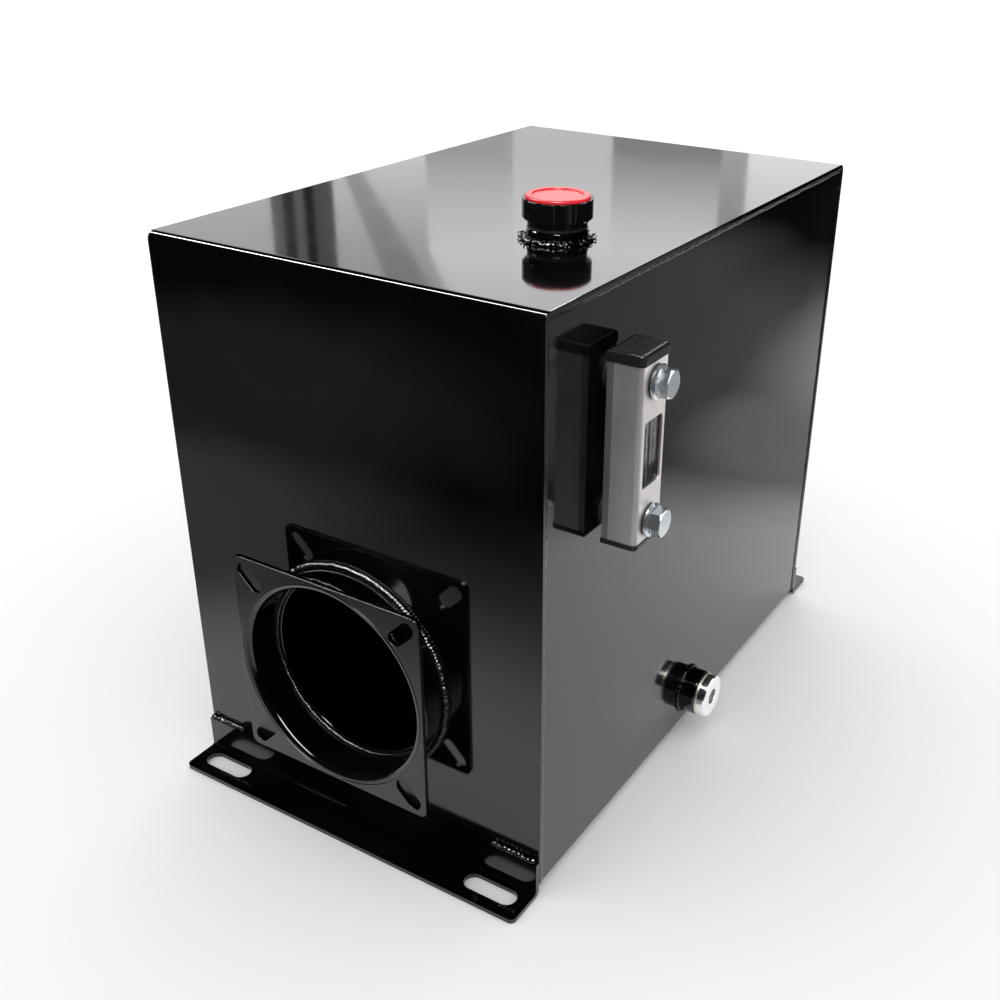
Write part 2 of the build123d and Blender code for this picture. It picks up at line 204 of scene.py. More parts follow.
def blackPaint(tree, look):
    place = objectPlace(tree)
    patches = noise(tree, place, look["patchSize"], 4.0, 0.6)
    specks = band(tree, noise(tree, place, look["speckSize"], 1.0), *look["speckRange"])
    peel = noise(tree, place, look["peelSize"], 1.0)
    wave = noise(tree, place, look["waveSize"], 1.0)
    smudges = band(tree, patches, *look["patchRange"])
    return {
        "Base Color": blend(tree, smudges, look["black"], look["haze"]),
        "Roughness": smudges * look["smudge"] + specks * look["speckDulling"] + look["gloss"],
        "IOR": look["index"],
        "Normal": bumped(tree, (wave, look["waveDepth"]), (peel, look["peelDepth"])),
    }


coverLook = {
    "light": (0.82, 0.79, 0.77),
    "dark": (0.70, 0.67, 0.655),
    "metallic": 0.85,
    "roughness": 0.40,
    "dulling": 0.08,
    "contrast": (0.3, 0.7),
    "lineSize": 0.35 * mm,   # drawing lines of the extrusion, along Z
    "lineDepth": 0.006 * mm,
    "cloudSize": 9 * mm,
    "grainSize": 0.12 * mm,
    "grainDepth": 0.003 * mm,
}
# the cover's aluminium painted darker: painted shade on the back profile beside the wall
backProfileLook = {
    **coverLook,
    "light": (0.36, 0.345, 0.34),
    "dark": (0.28, 0.27, 0.265),
    "roughness": 0.46,
}


def gaugeAluminium(tree, look):
    lines = noise(tree, objectPlace(tree, scale=(1, 1, 0.02)), look["lineSize"], 3.0)
    cloud = noise(tree, objectPlace(tree, scale=(1, 1, 0.3)), look["cloudSize"], 3.0)
    grain = noise(tree, objectPlace(tree), look["grainSize"], 2.0)
    shade = band(tree, cloud * 0.6 + lines * 0.4, *look["contrast"])
    return {
        "Base Color": blend(tree, shade, look["dark"], look["light"]),
        "Metallic": look["metallic"],
        "Roughness": band(tree, cloud, *look["contrast"]) * look["dulling"] + look["roughness"],
        "Normal": bumped(tree, (lines, look["lineDepth"]), (grain, look["grainDepth"])),
    }


lensLook = {
    "tint": (0.94, 0.92, 0.90, 1.0),
    "index": 1.49,
    "roughness": 0.02,
    "hazeSize": 4 * mm,
    "haze": 0.06,            # roughness that the haze adds
}


def clearLens(tree, look):
    haze = noise(tree, objectPlace(tree), look["hazeSize"], 3.0)
    return {
        "Base Color": look["tint"],
        "Roughness": haze * look["haze"] + look["roughness"],
        "IOR": look["index"],
        "Transmission Weight": 1.0,
    }


stripLook = {
    "dark": (0.05, 0.041, 0.036),
    "light": (0.12, 0.10, 0.088),
    "roughness": 0.35,
    "dulling": 0.1,
    "grainSize": 0.5 * mm,
    "grainDetail": 2.0,
    "grainDepth": 0.01 * mm,
}
rubberLook = {
    "dark": (0.010, 0.010, 0.010),
    "light": (0.022, 0.022, 0.021),
    "roughness": 0.55,
    "dulling": 0.15,
    "grainSize": 0.3 * mm,
    "grainDetail": 3.0,
    "grainDepth": 0.01 * mm,
}
washerLook = {
    "dark": (0.72, 0.69, 0.60),
    "light": (0.86, 0.84, 0.76),
    "metallic": 1.0,
    "roughness": 0.3,
    "dulling": 0.15,
    "grainSize": 3 * mm,
    "grainDetail": 3.0,
    "grainDepth": 0.02 * mm,
}


def grained(tree, look):
    grain = noise(tree, objectPlace(tree), look["grainSize"], look["grainDetail"])
    return {
        "Base Color": blend(tree, grain, look["dark"], look["light"]),
        "Metallic": look.get("metallic", 0.0),
        "Roughness": grain * look["dulling"] + look["roughness"],
        "Normal": bumped(tree, (grain, look["grainDepth"])),
    }


endCapLook = {
    "shade": 0.009,
    "roughness": 0.3,
    "grainSize": 0.5 * mm,
    "grainDepth": 0.004 * mm,
    "wearSize": 6 * mm,
    "wearRange": (0.3, 0.7),
    "wearDulling": 0.1,
    "wornShade": (1.8, 1.8, 1.9),   # times the shade
}
breatherLook = {
    **endCapLook,
    "shade": 0.0025,
    "roughness": 0.2,
    "grainSize": 0.6 * mm,
    "grainDepth": 0.006 * mm,
}


def mouldedBlack(tree, look):
    place = objectPlace(tree)
    grain = noise(tree, place, look["grainSize"], 3.0)
    wear = noise(tree, place, look["wearSize"], 3.0)
    worn = [look["shade"] * times for times in look["wornShade"]]
    return {
        "Base Color": blend(tree, wear, [look["shade"]] * 3, worn),
        "Roughness": band(tree, wear, *look["wearRange"]) * look["wearDulling"] + look["roughness"],
        "Normal": bumped(tree, (grain, look["grainDepth"])),
    }


redLook = {
    "dark": (0.70, 0.008, 0.022),
    "light": (0.82, 0.014, 0.032),
    "roughness": 0.24,
    "dulling": 0.1,
    "cloudSize": 8 * mm,
    "grainSize": 0.4 * mm,
    "grainDepth": 0.004 * mm,
    "scatter": 0.15,
    "scatterReach": 0.6 * mm,
}


def redPlastic(tree, look):
    place = objectPlace(tree)
    cloud = noise(tree, place, look["cloudSize"], 3.0)
    grain = noise(tree, place, look["grainSize"], 2.0)
    return {
        "Base Color": blend(tree, cloud, look["dark"], look["light"]),
        "Roughness": cloud * look["dulling"] + look["roughness"],
        "Subsurface Weight": look["scatter"],
        "Subsurface Scale": look["scatterReach"],
        "Normal": bumped(tree, (grain, look["grainDepth"])),
    }


foamLook = {
    "walls": (0.10, 0.10, 0.105),
    # painted shade: the colour of the sunken cell middles
    "hollows": (0.015, 0.015, 0.016),
    "roughness": 0.9,
    "cellSize": 0.9 * mm,
    "cellDepth": 0.2 * mm,
}


def filterFoam(tree, look):
    cells = tree.add("ShaderNodeTexVoronoi", {"feature": "DISTANCE_TO_EDGE"}, {
        "Vector": objectPlace(tree), "Scale": 1 / look["cellSize"]})
    return {
        # the cell middles, sunk by the bump, are painted darker: painted shade in the hollows
        "Base Color": blend(tree, band(tree, cells, 0.02, 0.16), look["walls"], look["hollows"]),
        "Roughness": look["roughness"],
        "Normal": bumped(tree, (1 - band(tree, cells, 0.0, 0.2), look["cellDepth"])),
    }


boltLook = {
    "blue": (0.60, 0.68, 0.76),
    "straw": (0.74, 0.75, 0.73),
    "metallic": 0.9,
    "roughness": 0.13,
    "bloomSize": 5 * mm,     # cloudy colours of the plating
    "bloomRange": (0.35, 0.7),
    "dullRange": (0.3, 0.7),
    "dulling": 0.12,
    "grainSize": 0.35 * mm,
    "grainDepth": 0.006 * mm,
}


def zincBolt(tree, look):
    place = objectPlace(tree)
    bloom = noise(tree, place, look["bloomSize"], 3.0, 0.8)
    grain = noise(tree, place, look["grainSize"], 3.0)
    return {
        "Base Color": blend(tree, band(tree, bloom, *look["bloomRange"]), look["blue"], look["straw"]),
        "Metallic": look["metallic"],
        "Roughness": band(tree, bloom, *look["dullRange"]) * look["dulling"] + look["roughness"],
        "Normal": bumped(tree, (grain, look["grainDepth"])),
    }


plugLook = {
    "blue": (0.90, 0.92, 0.93),
    "straw": (0.95, 0.94, 0.89),
    "metallic": 1.0,
    "roughness": 0.14,
    "bloomSize": 6 * mm,
    "bloomRange": (0.35, 0.7),
    "dullRange": (0.3, 0.7),
    "dulling": 0.1,
    "ringPitch": 0.35 * mm,  # turning marks
    "ringDepth": 0.003 * mm,
}


def zincPlug(tree, look):
    low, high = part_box("drain_plug")
    axis = (0.0, (low.y + high.y) / 2, (low.z + high.z) / 2)
    reach = length(tree, objectPlace(tree, axis, (0, 1, 1)))
    rings = sine(reach * (tau / look["ringPitch"]))
    bloom = noise(tree, objectPlace(tree), look["bloomSize"], 3.0, 0.5)
    return {
        "Base Color": blend(tree, band(tree, bloom, *look["bloomRange"]), look["blue"], look["straw"]),
        "Metallic": look["metallic"],
        "Roughness": band(tree, bloom, *look["dullRange"]) * look["dulling"] + look["roughness"],
        "Normal": bumped(tree, (rings * 0.5 + 0.5, look["ringDepth"])),
    }


finishes = {
    "black_paint": material("blackPaint", blackPaint, paintLook),
    "gauge_aluminium": material("coverAluminium", gaugeAluminium, coverLook),
    # the back profile takes the cover's aluminium painted darker, as painted shade
    "back_aluminium": material("backAluminium", gaugeAluminium, backProfileLook),
    "lens": material("clearLens", clearLens, lensLook),
    "reflector": material("darkStrip", grained, stripLook),
    "black_plastic": material("endCapPlastic", mouldedBlack, endCapLook),
    "cap_plastic": material("breatherPlastic", mouldedBlack, breatherLook),
    "red_plastic": material("redPlastic", redPlastic, redLook),
    "filter_foam": material("filterFoam", filterFoam, foamLook),
    "rubber": material("rubber", grained, rubberLook),
    "zinc_bolt": material("zincBolt", zincBolt, boltLook),
    "zinc_plug": material("zincPlug", zincPlug, plugLook),
    "washer_alloy": material("washerAlloy", grained, washerLook),
}
print("finishes ready")


edgeRound = {                # radius of the broken edges, in millimetres
    "wrap_sheet": 0.5, "left_side_plate": 0.3, "right_side_plate": 0.3, "floor_plate": 0.4,
    "front_foot": 0.5, "rear_foot": 0.5, "neck_tube": 0.4, "neck_flange": 0.5,
    "filler_neck": 0.25, "drain_boss": 0.3,
    "cap_body": 0.16, "cap_insert": 0.12, "cap_gasket": 0.2,
    "gauge_back": 0.25, "gauge_cover": 0.3, "gauge_top_cap": 0.12, "gauge_bottom_cap": 0.2,
    "gauge_wall_seals": 0.4, "gauge_bolt_seals": 0.3, "gauge_bolts": 0.22,
    "drain_washer": 0.3, "drain_plug": 0.18,
}
edgeAngle = {"gauge_bolts": 22}   # degrees from which an edge is rounded, if not the usual
usualEdgeAngle = 33
edgeSegments = 2
mergeDistance = 0.0005 * mm
flatAngle = 0.4              # degrees up to which neighbouring triangles are one face


def wholeMesh(nodeName, meshName):
    # the node's loose triangles, merged back into whole faces
    mesh = bpy.data.meshes.new(meshName)
    shape = bmesh.new()
    shape.from_mesh(frame["nodes"][nodeName].data)
    bmesh.ops.remove_doubles(shape, verts=shape.verts, dist=mergeDistance)
    bmesh.ops.dissolve_limit(
        shape, angle_limit=radians(flatAngle), verts=shape.verts, edges=shape.edges)
    shape.to_mesh(mesh)
    shape.free()
    for layer in ("custom_normal", "UVMap"):
        if layer in mesh.attributes:
            mesh.attributes.remove(mesh.attributes[layer])
    mesh.materials.clear()
    mesh.shade_smooth()
    return mesh


def settle(piece, bodyName, slotName):
    piece.data.materials.append(finishes[slotName])
    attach(piece, bodyName)


for nodeName, radius in edgeRound.items():
    words = nodeName.split("_")
    pieceName = words[0] + "".join(word.capitalize() for word in words[1:])
    piece = bpy.data.objects.new(pieceName, wholeMesh(nodeName, pieceName))
    bpy.context.scene.collection.objects.link(piece)
    rounding = piece.modifiers.new("brokenEdges", "BEVEL")
    rounding.width = radius * mm
    rounding.segments = edgeSegments
    rounding.limit_method = "ANGLE"
    rounding.angle_limit = radians(edgeAngle.get(nodeName, usualEdgeAngle))
    rounding.harden_normals = True
    rounding.use_clamp_overlap = True
    # keeps wide faces flat in the gloss
    flattening = piece.modifiers.new("flatFaces", "WEIGHTED_NORMAL")
    flattening.keep_sharp = True
    settle(piece, bodyOf[nodeName], slotOf[nodeName])
    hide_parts(nodeName)

for nodeName, node in frame["nodes"].items():
    if nodeName not in edgeRound:
        node.data.materials.clear()
        node.data.materials.append(finishes[slotOf[nodeName]])
print("frame pieces ready")


beadInputs = {               # name: default
    "Bead Radius": 2.2 * mm,
    "Ripple Pitch": 1.9 * mm,
    "Ripple Depth": 0.16,    # share of the radius
    "Unevenness": 0.2,       # slow swelling, share of the radius
    "Wander": 0.5 * mm,      # how far the bead strays from its line
    "Lumps": 0.3 * mm,
    "Seed": 0.0,
    "Squash": (1.0, 1.0, 1.0),
    "Centre": (0.0, 0.0, 0.0),
}
beadPattern = {              # widths of the blotches, sides of the bead, points along one ripple
    "swell": 9 * mm, "wander": 5 * mm, "lumps": 2.2 * mm, "sides": 12, "rippleSteps": 6}


def namedInputs(group, defaults):
    group.interface.new_socket("Path", in_out="INPUT", socket_type="NodeSocketGeometry")
    for name, value in defaults.items():
        kind = "NodeSocketVector" if isinstance(value, tuple) else "NodeSocketFloat"
        group.interface.new_socket(name, in_out="INPUT", socket_type=kind).default_value = value
    group.interface.new_socket("Finish", in_out="INPUT", socket_type="NodeSocketMaterial")
    group.interface.new_socket("Result", in_out="OUTPUT", socket_type="NodeSocketGeometry")
    tree = Tree(group)
    entry = group.nodes.new("NodeGroupInput")
    return tree, {socket.name: Wire(tree, socket) for socket in entry.outputs if socket.name}


def blotches(tree, place, size, seed, output):
    return tree.add("ShaderNodeTexNoise", {"noise_dimensions": "4D"}, {
        "Vector": place, "W": seed, "Scale": 1 / size, "Detail": 2.0}, output=output)


def beadTree():
    group = bpy.data.node_groups.new("weldBead", "GeometryNodeTree")
    tree, given = namedInputs(group, beadInputs)
    path = tree.add("GeometryNodeMeshToCurve", {}, {"Mesh": given["Path"]})
    path = tree.add("GeometryNodeResampleCurve", {"mode": "LENGTH"}, {
        "Curve": path, "Length": given["Ripple Pitch"] / beadPattern["rippleSteps"]})
    along = tree.add("GeometryNodeSplineParameter", output="Length")
    place = tree.add("GeometryNodeInputPosition")
    wave = abs(sine(along * pi / given["Ripple Pitch"]))
    dip = given["Ripple Depth"] * (1 - wave)
    swell = blotches(tree, place, beadPattern["swell"], given["Seed"], 0) - 0.5
    radius = given["Bead Radius"] * (1 - dip + swell * given["Unevenness"] * 2)
    stray = blotches(tree, place, beadPattern["wander"], given["Seed"] + 7, 1)
    stray = scaled(tree, vectorMath(tree, "SUBTRACT", stray, (0.5, 0.5, 0.5)), given["Wander"] * 2)
    path = tree.add("GeometryNodeSetPosition", {}, {"Geometry": path, "Offset": stray})
    section = tree.add("GeometryNodeCurvePrimitiveCircle", {"mode": "RADIUS"}, {
        "Resolution": beadPattern["sides"], "Radius": 1.0})
    bead = tree.add("GeometryNodeCurveToMesh", {}, {
        "Curve": path, "Profile Curve": section, "Scale": radius, "Fill Caps": True})
    lumps = blotches(tree, place, beadPattern["lumps"], given["Seed"] + 13, 0) - 0.5
    lumps = scaled(tree, tree.add("GeometryNodeInputNormal"), lumps * given["Lumps"] * 2)
    bead = tree.add("GeometryNodeSetPosition", {}, {"Geometry": bead, "Offset": lumps})
    squashed = vectorMath(tree, "SUBTRACT", place, given["Centre"])
    squashed = vectorMath(tree, "MULTIPLY", squashed, given["Squash"])
    squashed = vectorMath(tree, "ADD", squashed, given["Centre"])
    bead = tree.add("GeometryNodeSetPosition", {}, {"Geometry": bead, "Position": squashed})
    bead = tree.add("GeometryNodeSetShadeSmooth", {}, {"Geometry": bead})
    bead = tree.add("GeometryNodeRealizeInstances", {}, {"Geometry": bead})
    bead = tree.add("GeometryNodeSetMaterial", {}, {"Geometry": bead, "Material": given["Finish"]})
    tree.add("NodeGroupOutput", {}, {0: bead})
    return group


spatterInputs = {
    "Count": 40.0,
    "Smallest": 0.25 * mm,
    "Largest": 0.9 * mm,
    "Spread": (4 * mm, 4 * mm, 0.3 * mm),
    "Stretch": (1.0, 1.0, 1.0),
    "Seed": 0.0,
}
dropPattern = {"lumps": 0.7 * mm, "lumpHeight": 0.5 * mm, "tilt": 0.6, "subdivisions": 3}


def spatterTree():
    group = bpy.data.node_groups.new("weldSpatter", "GeometryNodeTree")
    tree, given = namedInputs(group, spatterInputs)
    path = tree.add("GeometryNodeMeshToCurve", {}, {"Mesh": given["Path"]})
    path = tree.add("GeometryNodeResampleCurve", {"mode": "COUNT"}, {
        "Curve": path, "Count": given["Count"]})
    points = tree.add("GeometryNodeCurveToPoints", {"mode": "EVALUATED"}, {"Curve": path})
    thrown = tree.add("FunctionNodeRandomValue", {"data_type": "FLOAT_VECTOR"}, {
        "Min": vectorMath(tree, "MULTIPLY", given["Spread"], (-1, -1, -1)), "Max": given["Spread"],
        "Seed": given["Seed"]})
    points = tree.add("GeometryNodeSetPosition", {}, {"Geometry": points, "Offset": thrown})
    size = tree.add("FunctionNodeRandomValue", {"data_type": "FLOAT"}, {
        2: given["Smallest"], 3: given["Largest"], "Seed": given["Seed"] + 3}, output=1)
    scale = scaled(tree, given["Stretch"], size)
    mostTurn = (dropPattern["tilt"], dropPattern["tilt"], tau)
    turn = tree.add("FunctionNodeRandomValue", {"data_type": "FLOAT_VECTOR"}, {
        "Min": (0, 0, 0), "Max": mostTurn, "Seed": given["Seed"] + 5})
    drop = tree.add("GeometryNodeMeshIcoSphere", {}, {
        "Radius": 1.0, "Subdivisions": dropPattern["subdivisions"]})
    drops = tree.add("GeometryNodeInstanceOnPoints", {}, {
        "Points": points, "Instance": drop, "Rotation": turn, "Scale": scale})
    drops = tree.add("GeometryNodeRealizeInstances", {}, {"Geometry": drops})
    place = tree.add("GeometryNodeInputPosition")
    lumps = blotches(tree, place, dropPattern["lumps"], given["Seed"], 0) - 0.5
    lumps = scaled(tree, tree.add("GeometryNodeInputNormal"), lumps * dropPattern["lumpHeight"])
    drops = tree.add("GeometryNodeSetPosition", {}, {"Geometry": drops, "Offset": lumps})
    drops = tree.add("GeometryNodeSetShadeSmooth", {}, {"Geometry": drops})
    drops = tree.add("GeometryNodeRealizeInstances", {}, {"Geometry": drops})
    drops = tree.add("GeometryNodeSetMaterial", {}, {"Geometry": drops, "Material": given["Finish"]})
    tree.add("NodeGroupOutput", {}, {0: drops})
    return group


ringStep = 4                 # degrees


def ringPath(centre, normal, radius, start=0.0, end=360.0):
    # a circle, or an arc between two angles in degrees
    steps = round((end - start) / ringStep)
    turned = Vector(normal).to_track_quat("Z", "Y")
    closed = end - start >= 360
    spots = []
    for step in range(steps if closed else steps + 1):
        angle = radians(start + (end - start) * step / steps)
        spots.append(Vector(centre) + turned @ Vector((radius * cos(angle), radius * sin(angle), 0)))
    return [(spots, closed)]


def pathObject(runs):
    points = []
    links = []
    for spots, closed in runs:
        first = len(points)
        points += [tuple(spot) for spot in spots]
        links += [(first + n, first + n + 1) for n in range(len(spots) - 1)]
        if closed:
            links.append((len(points) - 1, first))
    mesh = bpy.data.meshes.new("path")
    mesh.from_pydata(points, links, [])
    made = bpy.data.objects.new("path", mesh)
    bpy.context.scene.collection.objects.link(made)
    return made


def grow(name, group, runs, settings):
    # runs the tree along the path and keeps its result as one plain mesh
    path = pathObject(runs)
    modifier = path.modifiers.new("tree", "NODES")
    modifier.node_group = group
    for socket in group.interface.items_tree:
        if socket.in_out == "INPUT" and socket.name in settings:
            modifier[socket.identifier] = settings[socket.name]
        if socket.in_out == "INPUT" and socket.name == "Finish":
            modifier[socket.identifier] = finishes["black_paint"]
    bpy.context.view_layer.update()
    grown = path.evaluated_get(bpy.context.evaluated_depsgraph_get())
    mesh = bpy.data.meshes.new_from_object(grown)
    mesh.name = name
    bpy.data.objects.remove(path)
    piece = bpy.data.objects.new(name, mesh)
    bpy.context.scene.collection.objects.link(piece)
    mesh.materials.clear()
    settle(piece, "tank", "black_paint")
    return piece


bead = beadTree()
spatter = spatterTree()

tankLow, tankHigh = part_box("wrap_sheet")
plateLow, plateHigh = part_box("right_side_plate")
neckLow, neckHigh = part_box("neck_tube")
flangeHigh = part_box("neck_flange")[1]
fillerLow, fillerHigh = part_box("filler_neck")
bossLow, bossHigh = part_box("drain_boss")
footLow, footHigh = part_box("front_foot")
floorLow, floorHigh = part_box("floor_plate")

sheet = plateHigh.x - plateLow.x
neckAxis = (neckLow + neckHigh) / 2
neckRadius = (neckHigh.x - neckLow.x) / 2
neckThickness = 4.5 * mm
neckBore = neckRadius - neckThickness
fillerAxis = (fillerLow + fillerHigh) / 2
fillerRadius = (fillerHigh.x - fillerLow.x) / 2
bossAxis = (bossLow + bossHigh) / 2
bossRadius = (bossHigh.y - bossLow.y) / 2


def neckRing(y, radius):
    return ringPath((neckAxis.x, y, neckAxis.z), (0, -1, 0), radius)


def fillerRing(rise, reach, start=0.0, end=360.0):
    # rise is above the tank's top, reach is beyond the neck
    centre = (fillerAxis.x, fillerAxis.y, tankHigh.z + rise)
    return ringPath(centre, (0, 0, 1), fillerRadius + reach, start, end)


fillet = 0.9 * mm            # a fillet bead's middle stands off both faces by this much
innerFillet = 0.6 * mm
neckWeld = {
    "Bead Radius": 2.4 * mm,
    "Ripple Pitch": 2.0 * mm,
    "Ripple Depth": 0.2,
    "Wander": 0.7 * mm,
    "Lumps": 0.55 * mm,
    "Seed": 1.0,
}
neckFlangeWeld = {
    **neckWeld,
    "Bead Radius": 1.3 * mm,
    "Seed": 2.0,
}
neckInnerWeld = {
    **neckWeld,
    "Bead Radius": 1.6 * mm,
    "Unevenness": 0.12,
    "Wander": 0.3 * mm,
    "Seed": 3.0,
}
grow("neckWallWeld", bead, neckRing(tankLow.y - fillet, neckRadius + fillet), neckWeld)
grow("neckFlangeWeld", bead, neckRing(flangeHigh.y + fillet, neckRadius + fillet), neckFlangeWeld)
grow("neckInnerWeld", bead, neckRing(tankLow.y - innerFillet, neckBore - innerFillet), neckInnerWeld)

fillerWeld = {
    "Bead Radius": 1.8 * mm,
    "Ripple Pitch": 3.4 * mm,
    "Ripple Depth": 0.35,
    "Unevenness": 0.45,
    "Wander": 1.0 * mm,
    "Lumps": 1.3 * mm,
    "Seed": 4.0,
}
grow("fillerWeld", bead, fillerRing(rise=0.7 * mm, reach=0.9 * mm), fillerWeld)

fillerSpatter = {
    "Count": 46.0,
    "Smallest": 0.3 * mm,
    "Largest": 1.1 * mm,
    "Spread": (2.6 * mm, 2.6 * mm, 0.9 * mm),
    "Stretch": (1.3, 0.7, 0.8),
    "Seed": 3.0,
}
grow("fillerSpatter", spatter, fillerRing(rise=0.8 * mm, reach=2.2 * mm), fillerSpatter)

whiskers = {
    "Count": 6.0,
    "Smallest": 0.35 * mm,
    "Largest": 0.7 * mm,
    "Spread": (1.5 * mm, 1.5 * mm, 0.7 * mm),
    "Stretch": (3.4, 0.65, 0.65),
}
whiskerArc = 62              # degrees
for name, start, seed in (("fillerWhiskersLeft", 178, 21.0), ("fillerWhiskersRight", -2, 22.0)):
    arc = fillerRing(1.5 * mm, 3.4 * mm, start, start + whiskerArc)
    grow(name, spatter, arc, {**whiskers, "Seed": seed})

drainWeld = {
    "Bead Radius": 1.1 * mm,
    "Ripple Pitch": 2.2 * mm,
    "Ripple Depth": 0.24,
    "Unevenness": 0.25,
    "Wander": 0.5 * mm,
    "Lumps": 0.5 * mm,
    "Seed": 5.0,
}
drainFillet = {"offWall": 0.7 * mm, "offBoss": 0.8 * mm}
drainCentre = (plateHigh.x + drainFillet["offWall"], bossAxis.y, bossAxis.z)
drainRing = ringPath(drainCentre, (1, 0, 0), bossRadius + drainFillet["offBoss"])
grow("drainWeld", bead, drainRing, drainWeld)

seamWeld = {
    "Bead Radius": 1.9 * mm,
    "Ripple Pitch": 2.4 * mm,
    "Ripple Depth": 0.16,
    "Unevenness": 0.34,
    "Wander": 0.75 * mm,
    "Lumps": 0.6 * mm,
    "Squash": (0.32, 1.0, 1.0),
}
seamFoot = tankLow.z + 0.5 * mm
cornerRadius = 2.2 * mm      # of the seam, where it turns at the top
cornerSteps = 6


def seamPath(seamX):
    frontY, rearY = tankLow.y + sheet, tankHigh.y - sheet
    cornerZ = tankHigh.z - sheet - cornerRadius
    spots = [Vector((seamX, frontY, seamFoot)), Vector((seamX, frontY, cornerZ))]
    for cornerY, first in ((frontY + cornerRadius, 180), (rearY - cornerRadius, 90)):
        for step in range(1, cornerSteps):
            angle = radians(first - 90 * step / cornerSteps)
            across, upward = cornerRadius * cos(angle), cornerRadius * sin(angle)
            spots.append(Vector((seamX, cornerY + across, cornerZ + upward)))
    spots.append(Vector((seamX, rearY, seamFoot)))
    return [(spots, False)]


for name, seamX, seed in (("leftSeamWeld", -plateHigh.x, 6.0), ("rightSeamWeld", plateHigh.x, 7.0)):
    grow(name, bead, seamPath(seamX), {**seamWeld, "Centre": (seamX, 0.0, 0.0), "Seed": seed})

underZ = floorLow.z
underRing = [
    Vector((floorLow.x, floorLow.y, underZ)),
    Vector((floorHigh.x, floorLow.y, underZ)),
    Vector((floorHigh.x, floorHigh.y, underZ)),
    Vector((floorLow.x, floorHigh.y, underZ)),
]
underWeld = {
    **seamWeld,
    "Squash": (1.0, 1.0, 0.4),
    "Centre": (0.0, 0.0, underZ),
    "Seed": 8.0,
}
grow("floorSeamWeld", bead, [(underRing, True)], underWeld)

stitchWeld = {
    "Bead Radius": 1.9 * mm,
    "Ripple Pitch": 3.2 * mm,
    "Ripple Depth": 0.34,
    "Unevenness": 0.5,
    "Wander": 1.0 * mm,
    "Lumps": 1.2 * mm,
}
stitchLength = {"left": 29 * mm, "right": 31 * mm}   # measured from the foot's ends
stitchPlace = {"offWall": 1.3 * mm, "aboveFoot": 0.7 * mm, "inset": 1.5 * mm}
for name, wallY, side in (("frontFootWelds", tankLow.y, -1), ("rearFootWelds", tankHigh.y, 1)):
    y = wallY + side * stitchPlace["offWall"]
    z = footHigh.z + stitchPlace["aboveFoot"]
    left = (footLow.x + stitchPlace["inset"], footLow.x + stitchLength["left"])
    right = (footHigh.x - stitchLength["right"], footHigh.x - stitchPlace["inset"])
    runs = [([Vector((x, y, z)) for x in ends], False) for ends in (left, right)]
    grow(name, bead, runs, {**stitchWeld, "Seed": 9.0 + side})
print("welds ready")


cameraSet = {
    "place": (0.3938, -0.6290, 0.5123),
    "azimuth": 31.07,
    "elevation": 27.07,
    "roll": 0.87,
    "lens": 43.895,
    "sensor": 36,
    "shift": (-0.0537, 0.0008),
    "nearest": 0.01,
}


def makeCamera():
    azimuth, elevation, roll = (radians(cameraSet[key]) for key in ("azimuth", "elevation", "roll"))
    back = Vector((sin(azimuth) * cos(elevation), -cos(azimuth) * cos(elevation), sin(elevation)))
    level = Vector((cos(azimuth), sin(azimuth), 0))
    upright = back.cross(level)
    right = level * cos(roll) + upright * sin(roll)
    up = upright * cos(roll) - level * sin(roll)
    data = bpy.data.cameras.new("camera")
    data.sensor_width = cameraSet["sensor"]
    data.lens = cameraSet["lens"]
    data.shift_x, data.shift_y = cameraSet["shift"]
    data.clip_start = cameraSet["nearest"]
    made = bpy.data.objects.new("camera", data)
    turn = Matrix((right, up, back)).transposed().to_4x4()
    made.matrix_world = Matrix.Translation(cameraSet["place"]) @ turn
    bpy.context.scene.collection.objects.link(made)
    bpy.context.scene.camera = made


makeCamera()
tankMiddle = Vector((0, 0, 0.17))

# azimuth is turned from +Y towards +X, in degrees; glow is the panel's radiance
softboxes = {                # these light only the bare metal pieces
    "rightSide": {"azimuth": 64, "elevation": 12, "distance": 1.6, "size": (1.3, 1.0), "glow": 4.1,
                  "lights": ("gaugeBack", "gaugeCover", "gaugeBolts", "drainPlug", "drainWasher")},
    "frontFill": {"azimuth": 212, "elevation": 10, "distance": 1.9, "size": (1.0, 1.0), "glow": 6.4,
                  "lights": ("gaugeBack", "gaugeCover", "drainPlug", "drainWasher")},
}
# small lamps that only draw the glints on edges and beads
glints = {
    "ceilingFront": {"azimuth": 150, "elevation": 62, "distance": 1.8, "size": (0.4, 0.4), "glow": 70.0,
                     "spares": ("neckTube", "frontFoot")},
    "frontStrip": {"azimuth": 192, "elevation": 40, "distance": 2.2, "size": (2.4, 0.22), "glow": 26.0,
                   "lights": ("neckFlange", "neckInnerWeld", "neckWallWeld")},
    "neckArc": {"azimuth": 165, "elevation": 60, "distance": 1.8, "size": (2.8, 0.3), "glow": 60.0,
                "lights": ("neckWallWeld",)},
    "neckLip": {"azimuth": 152, "elevation": 42, "distance": 1.8, "size": (2.0, 0.3), "glow": 24.0,
                "lights": ("neckTube", "neckFlange", "neckInnerWeld")},
    "ceilingLeft": {"azimuth": -99, "elevation": 51, "distance": 1.9, "size": (0.14, 1.3), "glow": 60.0,
                    "spares": ("neckTube", "frontFoot")},
    "ceilingRear": {"azimuth": -4, "elevation": 42, "distance": 2.2, "size": (0.5, 0.12), "glow": 45.0},
    "beadFront": {"azimuth": 150, "elevation": 48, "distance": 1.6, "size": (1.0, 0.3), "glow": 55.0,
                  "lights": ("fillerWeld", "fillerSpatter", "fillerWhiskersLeft", "fillerWhiskersRight",
                             "frontFootWelds")},
    "capSide": {"azimuth": 112, "elevation": 1, "distance": 1.2, "size": (0.16, 0.2), "glow": 1.6,
                "lights": ("capBody",)},
}
